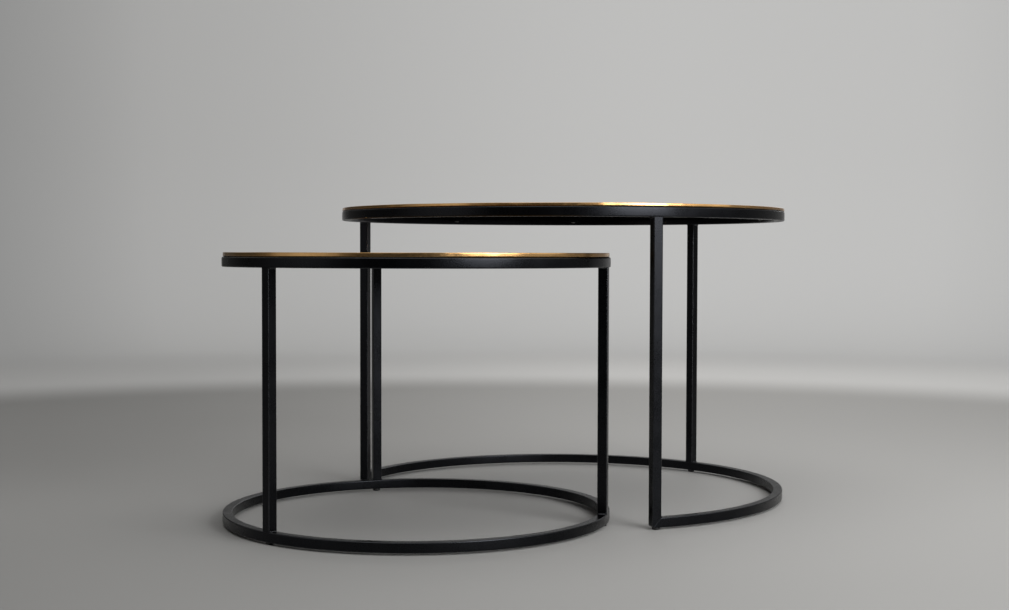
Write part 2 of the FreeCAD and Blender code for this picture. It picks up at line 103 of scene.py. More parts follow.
class Recipe:
    """One procedural material, built a node at a time on its own coordinates."""

    def __init__(self, name):
        self.material = bpy.data.materials.new(name)
        self.material.use_nodes = True
        self.tree = self.material.node_tree
        self.shader = self.tree.nodes["Principled BSDF"]
        place = self.tree.nodes.new("ShaderNodeTexCoord")
        self.place = place.outputs["Object"]
        self.normal = place.outputs["Normal"]

    def feed(self, socket, value):
        """Sets a socket to a number, a colour or another node's output."""
        if isinstance(value, bpy.types.NodeSocket):
            self.tree.links.new(value, socket)
        else:
            socket.default_value = value

    def set(self, **values):
        """Sets the shader's own sockets; an underscore stands for a space."""
        for name, value in values.items():
            self.feed(self.shader.inputs[name.replace("_", " ")], value)

    def noise(self, size, detail=2.0, roughness=0.5, stretch=(1, 1, 1), warp=0.0):
        """Cloudy noise from 0 to 1, whose blotches are about `size` metres across."""
        scale = self.tree.nodes.new("ShaderNodeMapping")
        self.feed(scale.inputs["Vector"], self.place)
        scale.inputs["Scale"].default_value = [1 / (size * s) for s in stretch]
        cloud = self.tree.nodes.new("ShaderNodeTexNoise")
        self.feed(cloud.inputs["Vector"], scale.outputs["Vector"])
        cloud.inputs["Scale"].default_value = 1
        cloud.inputs["Detail"].default_value = detail
        cloud.inputs["Roughness"].default_value = roughness
        cloud.inputs["Distortion"].default_value = warp
        return cloud.outputs["Fac"]

    def spread(self, value, from_low, from_high, to_low, to_high, smooth=False):
        """Maps a range of values onto another range, clamped."""
        ramp = self.tree.nodes.new("ShaderNodeMapRange")
        ramp.interpolation_type = "SMOOTHSTEP" if smooth else "LINEAR"
        numbers = (value, from_low, from_high, to_low, to_high)
        names = ("Value", "From Min", "From Max", "To Min", "To Max")
        for name, number in zip(names, numbers):
            self.feed(ramp.inputs[name], number)
        return ramp.outputs["Result"]

    def swing(self, cloud, low, high):
        """Maps the values that a noise mostly has onto a range, clamped."""
        return self.spread(cloud, *NOISE_RANGE, low, high)

    def maths(self, kind, first, second=0.0):
        """A Math node of one kind."""
        node = self.tree.nodes.new("ShaderNodeMath")
        node.operation = kind
        self.feed(node.inputs[0], first)
        self.feed(node.inputs[1], second)
        return node.outputs["Value"]

    def times(self, first, *others):
        """The product of two or more values."""
        for other in others:
            first = self.maths("MULTIPLY", first, other)
        return first

    def highest(self, first, *others):
        """The highest of two or more values."""
        for other in others:
            first = self.maths("MAXIMUM", first, other)
        return first

    def vector(self, kind, first, second=(0, 0, 0)):
        """A Vector Math node of one kind; dot products and lengths come out as numbers."""
        node = self.tree.nodes.new("ShaderNodeVectorMath")
        node.operation = kind
        self.feed(node.inputs[0], first)
        self.feed(node.inputs[1], second)
        as_number = kind in ("DOT_PRODUCT", "LENGTH")
        return node.outputs["Value" if as_number else "Vector"]

    def along(self, vector, way):
        """How far a vector reaches along a direction."""
        return self.vector("DOT_PRODUCT", vector, way)

    def blend(self, share, first, second):
        """Mixes two colours; share 0 gives the first."""
        node = self.tree.nodes.new("ShaderNodeMix")
        node.data_type = "RGBA"
        self.feed(node.inputs["Factor"], share)
        colours = [s for s in node.inputs if s.type == "RGBA"]
        for socket, colour in zip(colours, (first, second)):
            is_plain = not isinstance(colour, bpy.types.NodeSocket)
            self.feed(socket, (*colour, 1) if is_plain else colour)
        return next(s for s in node.outputs if s.type == "RGBA")

    def bump(self, *layers):
        """Chains bump layers, each (height from 0 to 1, depth in metres, strength)."""
        under = None
        for height, depth, strength in layers:
            node = self.tree.nodes.new("ShaderNodeBump")
            self.feed(node.inputs["Strength"], strength)
            node.inputs["Distance"].default_value = depth
            self.feed(node.inputs["Height"], height)
            if under:
                self.feed(node.inputs["Normal"], under)
            under = node.outputs["Normal"]
        self.feed(self.shader.inputs["Normal"], under)

    def outward(self, axis):
        """The level direction away from a table's axis."""
        from_axis = self.vector("SUBTRACT", self.place, tuple(axis))
        level = self.vector("MULTIPLY", from_axis, (1, 1, 0))
        return self.vector("NORMALIZE", level)

    def corner_share(self, axis):
        """0 on the tube's flat faces, 1 in the middle of its rounded corners."""
        outward = self.outward(axis)
        across = self.vector("CROSS_PRODUCT", outward, UP)
        facings = []
        for way in (outward, across, UP):
            facings.append(self.maths("ABSOLUTE", self.along(self.normal, way)))
        return self.spread(self.highest(*facings), FLAT_FACING, CORNER_FACING, 0, 1, smooth=True)


# ---------------------------------------------------------------- materials

COAT_DEEP = (0.015, 0.0156, 0.0174)  # the share of light that the coat gives back, seen squarely
COAT_PALE = (0.022, 0.0226, 0.0255)
# corners reflect more: partly a thin coat there, partly a painted highlight along the rounds
COAT_CORNER = (0.13, 0.133, 0.14)
COAT_RUBBED = (0.16, 0.16, 0.165)
COAT_DULL = (0.25, 0.33)  # roughness of the glossiest and the dullest clouds
COAT_SHEEN = (0.95, 0.95, 0.95)  # how much of its sheen the coat keeps at a low angle
COAT_LEVEL_SHADE = (0.5, 0.5, 0.5)  # the same on level faces, up and down: a painted shade that dulls their sheen


def powder_coat(table):
    """Satin black powder coat: orange peel, cloudy gloss, corners a little thin, rubbed and given a
    painted highlight.
    """
    r = Recipe(f"powder_coat_{table}")
    corner = r.corner_share(AXES[table])
    cloud = r.noise(45 * MM, detail=3, roughness=0.55)
    peel = r.noise(1.6 * MM, detail=2, roughness=0.45)
    grain = r.noise(0.5 * MM, detail=1, roughness=0.5)
    scuffs = r.noise(10 * MM, detail=4, roughness=0.7, warp=0.6)
    body = r.blend(cloud, COAT_DEEP, COAT_PALE)
    # lighter rounded corners: thin coat and a painted highlight
    edged = r.blend(r.times(corner, 0.55), body, COAT_CORNER)
    rubbed = r.times(corner, r.spread(scuffs, 0.60, 0.74, 0, 0.7))
    r.set(Base_Color=r.blend(rubbed, edged, COAT_RUBBED))
    dull = r.swing(cloud, *COAT_DULL)
    speckled = r.maths("ADD", dull, r.swing(peel, -0.03, 0.03))
    r.set(Roughness=r.maths("SUBTRACT", speckled, r.times(corner, 0.05)))
    # level faces, up and down, keep less sheen at a low angle: painted shade
    level = r.maths("ABSOLUTE", r.along(r.normal, UP))
    level_shade = r.spread(level, 0.5, 0.9, 0, 1, smooth=True)
    r.set(Metallic=1.0, Specular_Tint=r.blend(level_shade, COAT_SHEEN, COAT_LEVEL_SHADE))
    r.bump((peel, 0.05 * MM, 0.4), (grain, 0.02 * MM, 0.3))
    return r.material


BRASS_BRIGHT = (0.76, 0.455, 0.19)
BRASS_MELLOW = (0.60, 0.335, 0.125)
# tarnish of the mottled spots and the inner crease, and painted shade on the outer bend
BRASS_TARNISH_AND_SHADE = (0.28, 0.14, 0.052)
# painted shade, near black, low on the lip's outside
BRASS_PAINTED_SHADE = (0.03, 0.018, 0.008)
BRASS_DULL = (0.18, 0.26)  # roughness of the glossiest and the dullest clouds
TARNISH_AND_SHADE_HIGH = 2.2 * MM  # the tarnish in the bends, with the painted shade on the outer bend, fades out at this height over the tray's underside
LIP_SHADE_LOW = 0.8 * MM  # the painted shade low on the lip's outside, where its bend faces the black ring, fades out between these two heights
LIP_SHADE_HIGH = 2.0 * MM
LIP_WAVE = 45 * MM  # length of the shallow waves round the lip
LIP_WAVE_DEPTH = 2.4 * MM  # of the bump only, which turns the reflections


def antique_brass(table):
    """Lacquered antique brass sheet: mellow mottling, tarnish and painted shade in the bends, painted
    shade low on the lip, fine wiping marks.
    """
    r = Recipe(f"antique_brass_{table}")
    clouds = r.noise(90 * MM, detail=4, roughness=0.6, warp=0.4)
    mottle = r.noise(16 * MM, detail=5, roughness=0.65, warp=0.8)
    wiping = r.noise(4 * MM, detail=3, roughness=0.6, stretch=(1, 9, 1))
    peen = r.noise(2.2 * MM, detail=2, roughness=0.5)
    waves = r.noise(LIP_WAVE, detail=1, roughness=0.5)
    warm = r.blend(r.spread(clouds, 0.35, 0.68, 0, 1, smooth=True), BRASS_BRIGHT, BRASS_MELLOW)
    bottom = node_box(table, "tray")[0].z
    height = r.along(r.place, UP)
    facing_out = r.along(r.normal, r.outward(AXES[table]))
    on_lip = r.spread(r.maths("ABSOLUTE", facing_out), 0.2, 0.6, 0, 1)
    spots = r.spread(mottle, 0.56, 0.72, 0, 0.55, smooth=True)
    spots = r.times(spots, r.spread(on_lip, 0, 1, 1, 0.25))
    # darker in the bends: tarnish in the inner crease, painted shade on the outer bend
    in_bend = r.spread(height, bottom, bottom + TARNISH_AND_SHADE_HIGH, 0.55, 0, smooth=True)
    aged_and_shaded = r.highest(spots, r.times(in_bend, on_lip))
    metal = r.blend(aged_and_shaded, warm, BRASS_TARNISH_AND_SHADE)
    # painted shade low on the lip's outside, where the bend turns down towards the black ring
    lip_shade = r.spread(height, bottom + LIP_SHADE_LOW, bottom + LIP_SHADE_HIGH, 0.95, 0, smooth=True)
    outside = r.spread(facing_out, 0.02, 0.12, 0, 1)
    r.set(Base_Color=r.blend(r.times(lip_shade, outside), metal, BRASS_PAINTED_SHADE))
    dull = r.swing(clouds, *BRASS_DULL)
    dulled = r.maths("ADD", dull, r.times(aged_and_shaded, 0.16))
    r.set(Roughness=r.maths("ADD", dulled, r.swing(wiping, -0.03, 0.04)))
    r.set(Metallic=1.0)
    r.bump((waves, LIP_WAVE_DEPTH, on_lip), (clouds, 0.4 * MM, 0.25), (peen, 0.01 * MM, 0.08))
    return r.material


BOARD_DEEP = (0.0014, 0.0014, 0.0014)
BOARD_PALE = (0.0028, 0.0027, 0.0026)
BOARD_DULL = (0.75, 0.95)
PLASTIC_DEEP = (0.007, 0.007, 0.007)
PLASTIC_PALE = (0.014, 0.014, 0.014)
PLASTIC_DULL = (0.42, 0.58)
STEEL_DEEP = (0.10, 0.10, 0.105)
STEEL_PALE = (0.21, 0.20, 0.19)
STEEL_DULL = (0.28, 0.44)


def painted_board():
    """Black painted fibreboard, with the soft tooth of a roller."""
    r = Recipe("painted_board")
    cloud = r.noise(60 * MM, detail=3, roughness=0.6)
    fibres = r.noise(1.2 * MM, detail=4, roughness=0.7, stretch=(1, 4, 1), warp=0.8)
    r.set(Base_Color=r.blend(cloud, BOARD_DEEP, BOARD_PALE))
    r.set(Roughness=r.swing(fibres, *BOARD_DULL), Specular_IOR_Level=0.0)
    r.bump((fibres, 0.1 * MM, 0.6))
    return r.material


def foot_plastic():
    """Moulded black polythene with a fine spark-eroded skin."""
    r = Recipe("foot_plastic")
    cloud = r.noise(6 * MM, detail=3, roughness=0.6)
    skin = r.noise(0.4 * MM, detail=2, roughness=0.6)
    r.set(Base_Color=r.blend(cloud, PLASTIC_DEEP, PLASTIC_PALE))
    r.set(Roughness=r.swing(skin, *PLASTIC_DULL))
    r.bump((skin, 0.03 * MM, 0.5))
    return r.material


def screw_steel():
    """Black-zinc plated steel with a faint oily mottle."""
    r = Recipe("screw_steel")
    mottle = r.noise(1.8 * MM, detail=4, roughness=0.6, warp=0.5)
    drawn = r.noise(0.3 * MM, detail=2, roughness=0.6, stretch=(1, 1, 6))
    r.set(Base_Color=r.blend(mottle, STEEL_DEEP, STEEL_PALE))
    r.set(Roughness=r.swing(mottle, *STEEL_DULL))
    r.set(Metallic=1.0)
    r.bump((drawn, 0.01 * MM, 0.4))
    return r.material


COATS = {table: powder_coat(table) for table in TABLES}
BRASSES = {table: antique_brass(table) for table in TABLES}
BOARD = painted_board()
PLASTIC = foot_plastic()
STEEL = screw_steel()



def finish_nodes():
    """Gives every CAD node the finishes of its table, slot by slot."""
    for name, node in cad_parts.items():
        table = name.split("_")[0]
        finishes = {
            "frame_black": COATS[table],
            "tray_brass": BRASSES[table],
            "board_black": BOARD,
            "foot_plastic": PLASTIC,
            "screw_steel": STEEL,
        }
        for slot in node.material_slots:
            slot.material = finishes[slot.material.name]


finish_nodes()

# ---------------------------------------------------------------- mesh helpers


def piece_from(name, maker, material, body):
    """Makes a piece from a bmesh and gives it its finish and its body."""
    bmesh.ops.recalc_face_normals(maker, faces=maker.faces)
    mesh = bpy.data.meshes.new(name)
    maker.to_mesh(mesh)
    maker.free()
    mesh.materials.append(material)
    piece = bpy.data.objects.new(name, mesh)
    bpy.context.scene.collection.objects.link(piece)
    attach(piece, body)
    return piece


def bent(middle, radius, first, last, steps):
    """Points (radius, height) round a bend, from one angle in degrees to another."""
    points = []
    for step in range(steps + 1):
        angle = math.radians(first + (last - first) * step / steps)
        out = middle[0] + radius * math.cos(angle)
        points.append((out, middle[1] + radius * math.sin(angle)))
    return points


def spin(maker, axis, line, segments, shift=None):
    """Turns a line of (radius, height) round an upright axis; it starts and ends on the axis."""
    hoops = []
    for out, height in line:
        hoop = []
        for segment in range(segments if out > 0 else 1):
            angle = FULL_TURN * segment / segments
            place = shift(angle, out, height) if shift else (out, height)
            level = Vector((math.cos(angle), math.sin(angle), 0)) * place[0]
            hoop.append(maker.verts.new(axis + level + Vector((0, 0, place[1]))))
        hoops.append(hoop)
    for near, far in zip(hoops, hoops[1:]):
        for segment in range(segments):
            ahead = (segment + 1) % segments
            corners = [near[segment % len(near)], far[segment % len(far)]]
            corners += [far[ahead % len(far)], near[ahead % len(near)]]
            maker.faces.new(list(dict.fromkeys(corners))).smooth = True
    return hoops


# ---------------------------------------------------------------- trays

SHEET = 1.2 * MM
SHEET_BEND = 2.0 * MM
RIM_ROUND = 0.4 * MM
TRAY_SEGMENTS = 480
FLOOR_HOOPS = 34
LIP_HOOPS = (0.25, 0.5, 0.75)  # shares of the way up the lip's straight part
LIP_LEAN = 0.35 * MM  # how far the lip's top leans in at most
LIP_DIP = 0.3 * MM
LIP_GAIN = 1.8  # makes the noise round the lip nearly fill the range from -1 to 1
FLOOR_DIP = 0.25 * MM
LEAN_BROAD = 140 * MM  # sizes of the broad and the close waves in lean, dip and floor
LEAN_CLOSE = 35 * MM
DIP_BROAD = 100 * MM
DIP_CLOSE = 22 * MM
FLOOR_BROAD = 160 * MM
FLOOR_CLOSE = 45 * MM


def add_tray(table):
    """A sheet-metal pan turned up by hand: the lip wanders a little and the floor is not quite flat."""
    low, high = node_box(table, "tray")
    axis = AXES[table]
    outer = (high.x - low.x) / 2
    inner = outer - SHEET
    floor_top = low.z + SHEET
    seat = SHEET_BEND - SHEET
    seed = Vector((3.1, 7.7, 1.3)) * (1 + TABLES.index(table))

    def wander(angle, size, layer):
        """A slow wave round the rim, from -1 to 1, with blotches of one size."""
        round_rim = Vector((math.cos(angle), math.sin(angle), 0)) * outer / size
        return max(-1.0, min(1.0, LIP_GAIN * noise.noise(round_rim + seed * layer)))

    def dress(angle, out, height):
        """Leans and dips the lip, and lets the top of the floor sink a little between highs."""
        up_lip = max(0.0, min(1.0, (height - low.z - SHEET_BEND) / (high.z - low.z - SHEET_BEND)))
        if out > inner - 2 * SHEET_BEND:
            lean = 0.5 + 0.35 * wander(angle, LEAN_BROAD, 1) + 0.15 * wander(angle, LEAN_CLOSE, 2)
            dip = 0.5 + 0.4 * wander(angle, DIP_BROAD, 3) + 0.1 * wander(angle, DIP_CLOSE, 4)
            return out - LIP_LEAN * lean * up_lip, height - LIP_DIP * dip * up_lip
        if height > low.z + SHEET / 2:
            spot = Vector((math.cos(angle), math.sin(angle), 0)) * out
            broad = noise.noise(spot / FLOOR_BROAD + seed)
            close = noise.noise(spot / FLOOR_CLOSE - seed)
            return out, height - FLOOR_DIP * (0.5 + 0.38 * broad + 0.12 * close)
        return out, height

    flat = inner - 2 * SHEET_BEND
    line = [(flat * hoop / FLOOR_HOOPS, floor_top) for hoop in range(FLOOR_HOOPS)]
    line += [(flat, floor_top), (inner - seat - SHEET, floor_top)]
    line += bent((inner - seat, floor_top + seat), seat, -90, 0, 4)
    bend_top = low.z + SHEET_BEND
    rim_start = high.z - RIM_ROUND
    lip_heights = [bend_top + (rim_start - bend_top) * share for share in LIP_HOOPS]
    line += [(inner, height) for height in lip_heights]
    line += bent((inner + RIM_ROUND, rim_start), RIM_ROUND, 180, 90, 3)
    line += bent((outer - RIM_ROUND, rim_start), RIM_ROUND, 90, 0, 3)
    line += [(outer, height) for height in reversed(lip_heights)]
    line += bent((outer - SHEET_BEND, bend_top), SHEET_BEND, 0, -90, 7)
    line += [(outer * share, low.z) for share in (0.95, 0.6, 0.0)]
    maker = bmesh.new()
    spin(maker, Vector((axis.x, axis.y, 0)), line, TRAY_SEGMENTS, dress)
    tray = piece_from(f"{table}_brass_tray", maker, BRASSES[table], f"{table}_table")
    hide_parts(f"{table}_tray")


for table in TABLES:
    add_tray(table)

# ---------------------------------------------------------------- rolled tubes

TUBE_CORNER = 1.5 * MM
INSIDE = 0.04 * MM  # the drawn tube's outer side stays this far inside its CAD node
FACE_BULGE = 0.16 * MM
ROLL_WAVE = 0.12 * MM
ROLL_PITCH = 110 * MM
ROLL_GAIN = 1.6
SEAM_HALF = 5.0 * MM
SEAM_DENT = 0.10 * MM
SEAM_TURN = {"top_ring": 75, "base_arc": 112, "base_ring": 47}  # degrees round from +X
RING_ROWS = 540
FACE_SHARES = (0.06, 0.3, 0.5, 0.7, 0.94)  # where points lie across each flat face
MITRE_ROUND = 5.0 * MM
MITRE_ROWS = 9
MITRE_HALVINGS = 24
MITRE_RUN = 3.0 * MM  # the mitre's rows start this far before the leg
WAVE_FADE = 20.0 * MM  # waves and bulge fade out over this length before the mitre


def tube_section(inner, outer, low, high):
    """The tube's rounded square as (radius, height, share of the side faces' bulge)."""
    out, back = outer - TUBE_CORNER, inner + TUBE_CORNER
    top, bottom = high - TUBE_CORNER, low + TUBE_CORNER
    bends = []
    for quarter, middle in enumerate(((out, top), (back, top), (back, bottom), (out, bottom))):
        bends.append(bent(middle, TUBE_CORNER, 90 * quarter, 90 * quarter + 90, 6))
    section = []
    for bend, next_bend in zip(bends, bends[1:] + bends[:1]):
        section += bend
        here, there = Vector(bend[-1]), Vector(next_bend[0])
        section += [tuple(here.lerp(there, share)) for share in FACE_SHARES]
    bulged = []
    for out, height in section:
        up = 2 * (height - low) / (high - low) - 1
        bulged.append((out, height, 1 - up * up))
    return bulged


def add_tube(table, part):
    """A rolled square tube: faces a little full, slow waves from the rolls, one dressed seam."""
    low, high = node_box(table, part)
    axis = Vector((AXES[table].x, AXES[table].y, 0))
    outer = (high.x - low.x) / 2 - INSIDE
    section = tube_section(outer - TUBE, outer, low.z, high.z)
    middle = outer - TUBE / 2
    seam = math.radians(SEAM_TURN[part])
    seed = Vector((5.3, 2.9, 8.1)) * (1 + TABLES.index(table)) + Vector((0, 0, low.z * 9))

    def spot(out, height, full, angle, fade=1.0):
        """One point of the tube's skin at one angle round the ring."""
        around = Vector((math.cos(angle), math.sin(angle), 0))
        wave = ROLL_GAIN * noise.noise(around * outer / ROLL_PITCH + seed)
        wave = 0.5 + 0.5 * max(-1.0, min(1.0, wave))
        off_seam = math.remainder(angle - seam, FULL_TURN) * outer / SEAM_HALF
        dent = math.exp(-off_seam * off_seam)
        hollow = FACE_BULGE * (1 - full) + ROLL_WAVE * wave + SEAM_DENT * dent
        sideways = (out - middle) / (TUBE / 2)
        return axis + around * (out - hollow * fade * sideways) + Vector((0, 0, height))

    maker = bmesh.new()
    rows = []
    if part == "base_arc":
        rows = arc_rows(maker, section, spot, low.z, high.z)
        maker.faces.new(rows[0])
        maker.faces.new(reversed(rows[-1]))
        pairs = zip(rows, rows[1:])
    else:
        for row in range(RING_ROWS):
            angle = FULL_TURN * row / RING_ROWS
            rows.append([maker.verts.new(spot(*point, angle)) for point in section])
        pairs = zip(rows, rows[1:] + rows[:1])
    for near, far in pairs:
        for one in range(len(section)):
            two = (one + 1) % len(section)
            maker.faces.new((near[one], near[two], far[two], far[one])).smooth = True
    body = f"{table}_table"
    tube = piece_from(f"{table}_rolled_{part}", maker, COATS[table], body)
    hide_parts(f"{table}_{part}")


def leg_angle(table, leg):
    """How far round from +X a leg stands."""
    away = leg_foot(table, leg) - AXES[table]
    return math.atan2(away.y, away.x)


def arc_rows(maker, section, spot, low, high):
    """Rows of points along the open base, whose ends rise in a mitre to the side legs."""
    half = TUBE / 2
    first = leg_angle("large", "right")
    last = first + (leg_angle("large", "left") - first) % FULL_TURN

    def lifted(height, past):
        """The height of a line along the tube, this far past the leg's middle."""
        into_round = max(0.0, min(MITRE_ROUND, past - (half - MITRE_ROUND)))
        floor = low + MITRE_ROUND - math.sqrt(MITRE_ROUND ** 2 - into_round ** 2)
        return floor + (height - low) * (high - floor) / (high - low)

    def mitre_end(height):
        """How far past the leg's middle the mitre cuts a line along the tube, by halving."""
        near, far = -half, half
        for _ in range(MITRE_HALVINGS):
            past = (near + far) / 2
            if lifted(height, past) - low < half - past:
                near = past
            else:
                far = past
        return near

    start = -half - MITRE_RUN
    ends = [mitre_end(height) for out, height, full in section]
    rows = []
    for turn, way in ((first, -1), (last, 1)):
        end_rows = []
        for row in range(MITRE_ROWS + 1):
            share = row / MITRE_ROWS
            points = []
            for (out, height, full), end in zip(section, ends):
                past = start + (end - start) * share
                angle = turn + way * math.asin(past / out)
                points.append(spot(out, lifted(height, past), full, angle, 0.0))
            end_rows.append(points)
        rows.append(end_rows)
    run = 2 * math.asin(-start / section[0][0])
    clear = first + run / 2
    length = last - first - run
    steps = int(RING_ROWS * length / FULL_TURN)
    middle_rows = []
    for step in range(1, steps):
        share = step / steps
        from_end = min(share, 1 - share) * length * section[0][0]
        fade = min(1.0, from_end / WAVE_FADE)
        angle = clear + length * share
        middle_rows.append([spot(*point, angle, fade) for point in section])
    every = list(reversed(rows[0])) + middle_rows + rows[1]
    return [[maker.verts.new(point) for point in points] for points in every]


for table in TABLES:
    add_tube(table, "top_ring")
    add_tube(table, BASES[table])

# ---------------------------------------------------------------- weld beads

RIPPLE_PITCH = 0.85 * MM
BEAD_STEPS = 52
BEAD_ARC = 7
BEAD_SINK = 0.15 * MM
BEAD_CROWN = 0.14  # how far a bead bulges out, as a share of its size
RIPPLE = 0.045  # height of the ripples, as the same share
WEAVE = 0.08  # how much a bead's size wanders along it
WEAVE_PITCH = 2.2 * MM
BEAD_TAPER = 1.2 * MM  # a bead tapers over this length at each end


def add_bead(maker, corner, along, side, up, size, seed):
    """One rippled fillet bead in the corner between a leg's side and the tube it meets."""
    half = TUBE / 2 - TUBE_CORNER
    rows = []
    for step in range(BEAD_STEPS + 1):
        place = half * (2 * step / BEAD_STEPS - 1)
        from_end = (half - abs(place)) / BEAD_TAPER
        taper = math.sqrt(max(0.06, 1 - (1 - min(1.0, from_end)) ** 2))
        weave = 1 + WEAVE * noise.noise(Vector((place / WEAVE_PITCH, seed, 0.4)))
        row = [corner + along * place]
        for part in range(BEAD_ARC + 1):
            angle = math.pi / 2 * part / BEAD_ARC
            crown = math.sin(2 * angle)
            chord = 1 / (math.cos(angle) + math.sin(angle))
            phase = FULL_TURN * place / RIPPLE_PITCH + 2.0 * crown + seed
            ripple = 1 + RIPPLE * crown * math.sin(phase)
            reach = size * taper * weave * (chord + BEAD_CROWN * crown) * ripple
            level = side * math.cos(angle) + up * math.sin(angle)
            row.append(corner + along * place + level * reach)
        rows.append([maker.verts.new(point) for point in row])
    for near, far in zip(rows, rows[1:]):
        for one in range(len(near)):
            two = (one + 1) % len(near)
            face = maker.faces.new((near[one], near[two], far[two], far[one]))
            face.smooth = 0 < one < BEAD_ARC + 1
    maker.faces.new(rows[0])
    maker.faces.new(reversed(rows[-1]))


def leg_sides(table, leg, end):
    """The tangential directions away from a leg in which it is welded at one end."""
    foot = leg_foot(table, leg)
    outward = (foot - AXES[table]).normalized()
    across = Vector((0, 0, 1)).cross(outward)
    if table == "large" and end == "base" and leg != "back":
        to_back = leg_foot("large", "back") - foot
        return [across if across.dot(to_back) > 0 else -across]
    return [across, -across]


def add_welds(table, end):
    """The beads at one end of a table's legs, in place of the plain fillets of the CAD."""
    low, high = node_box(table, f"{end}_welds")
    size = high.z - low.z
    height = high.z + BEAD_SINK if end == "top" else low.z - BEAD_SINK
    up = Vector((0, 0, -1 if end == "top" else 1))
    maker = bmesh.new()
    for number, leg in enumerate(LEGS[table]):
        foot = leg_foot(table, leg)
        outward = (foot - AXES[table]).normalized()
        for hand, side in enumerate(leg_sides(table, leg, end)):
            corner = foot + side * (TUBE / 2 - BEAD_SINK) + Vector((0, 0, height))
            seed = 1.7 * number + 4.1 * hand
            add_bead(maker, corner, outward, side, up, size + BEAD_SINK, seed)
    beads = piece_from(
        f"{table}_{end}_weld_beads", maker, COATS[table], f"{table}_table"
    )
    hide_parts(f"{table}_{end}_welds")


for table in TABLES:
    for end in ("top", "base"):
        add_welds(table, end)

# ---------------------------------------------------------------- screws

HEAD_RADIUS = 3.6 * MM
HEAD_HEIGHT = 2.1 * MM
HEAD_ROUND = 1.0 * MM
HEAD_FLAT = 2.45 * MM  # the head is nearly flat within this radius
HEAD_DOME = 0.02 * MM  # how far it still rises from there to the mouth of the recess
SHANK_RADIUS = 1.75 * MM
POINT_RADIUS = 0.3 * MM
POINT_HEIGHT = 1.4 * MM
SCREW_SEGMENTS = 32
CROSS_REACH = 1.95 * MM
CROSS_HALF = 0.42 * MM
CROSS_DEPTH = 1.25 * MM
CROSS_TAPER = 0.55  # reach of the recess at its bottom, as a share of that at its mouth
FIRST_TWIST = 0.9  # turn of a table's first screw, and from each screw to the next, in radians
NEXT_TWIST = 2.3


def screw_places(table):
    """The middle of each screw in plan, read off the clumps of its node's corners."""
    clumps = []
    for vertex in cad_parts[f"{table}_tab_screws"].data.vertices:
        spot = Vector((vertex.co.x, vertex.co.y, 0))
        near = [clump for clump in clumps if (spot - clump["first"]).length < 3 * HEAD_RADIUS]
        if not near:
            near = [{"first": spot, "low": spot, "high": spot}]
            clumps += near
        near[0]["low"] = Vector(map(min, near[0]["low"], spot))
        near[0]["high"] = Vector(map(max, near[0]["high"], spot))
    return [(clump["low"] + clump["high"]) / 2 for clump in clumps]


def add_screw(maker, place, low, high, twist):
    """A pan-head screw, head down, with a tapered cross recess and a pointed shank."""
    seat = low + HEAD_HEIGHT
    line = [(POINT_RADIUS, high), (SHANK_RADIUS, high - POINT_HEIGHT), (SHANK_RADIUS, seat)]
    line.append((HEAD_RADIUS, seat))
    line += bent((HEAD_RADIUS - HEAD_ROUND, seat - HEAD_ROUND), HEAD_ROUND, 0, -80, 6)
    line.append((HEAD_FLAT, low + HEAD_DOME))
    hoops = []
    for out, height in line:
        hoop = []
        for segment in range(SCREW_SEGMENTS):
            angle = FULL_TURN * segment / SCREW_SEGMENTS
            level = Vector((math.cos(angle) * out, math.sin(angle) * out, height))
            hoop.append(maker.verts.new(place + level))
        hoops.append(hoop)
    for near, far in zip(hoops, hoops[1:]):
        for segment in range(SCREW_SEGMENTS):
            ahead = (segment + 1) % SCREW_SEGMENTS
            corners = (near[segment], far[segment], far[ahead], near[ahead])
            maker.faces.new(corners).smooth = True
    maker.faces.new(hoops[0])
    crosses = []
    for share, depth in ((1.0, 0.0), (CROSS_TAPER, CROSS_DEPTH)):
        cross = []
        for arm in range(4):
            turn = Matrix.Rotation(twist + arm * math.pi / 2, 3, "Z")
            reach = CROSS_REACH * share
            for x, y in ((reach, -CROSS_HALF), (reach, CROSS_HALF), (CROSS_HALF, CROSS_HALF)):
                level = turn @ Vector((x, y, 0))
                cross.append(maker.verts.new(place + level + Vector((0, 0, low + depth))))
        crosses.append(cross)
    mouth, bottom = crosses
    for one in range(len(mouth)):
        two = (one + 1) % len(mouth)
        maker.faces.new((mouth[one], mouth[two], bottom[two], bottom[one]))
    maker.faces.new(bottom)
    edges = []
    for loop in (mouth, hoops[-1]):
        edges += [maker.edges.get(pair) for pair in zip(loop, loop[1:] + loop[:1])]
    bmesh.ops.triangle_fill(maker, use_beauty=True, use_dissolve=False, edges=edges)


def add_screws(table):
    """A table's six screws, each turned to an angle of its own, in place of the plain ones."""
    low, high = node_box(table, "tab_screws")
    maker = bmesh.new()
    for number, place in enumerate(screw_places(table)):
        add_screw(maker, place, low.z, high.z, FIRST_TWIST + NEXT_TWIST * number)
    screws = piece_from(f"{table}_cross_screws", maker, STEEL, f"{table}_table")
    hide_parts(f"{table}_tab_screws")


for table in TABLES:
    add_screws(table)

# ---------------------------------------------------------------- camera

CAMERA_TURN = math.radians(42.03)  # round the large table's axis, from -Y towards +X
CAMERA_RANGE = 2.612
CAMERA_HEIGHT = 0.4137
CAMERA_PAN = math.radians(2.16)
CAMERA_PITCH = math.radians(1.966)
CAMERA_ROLL = math.radians(0.13)
CAMERA_LENS = 54.27
SENSOR_WIDTH = 36


def turned(angle, distance=1.0):
    """A level vector, `angle` round from -Y towards +X."""
    return Vector((math.sin(angle), -math.cos(angle), 0)) * distance


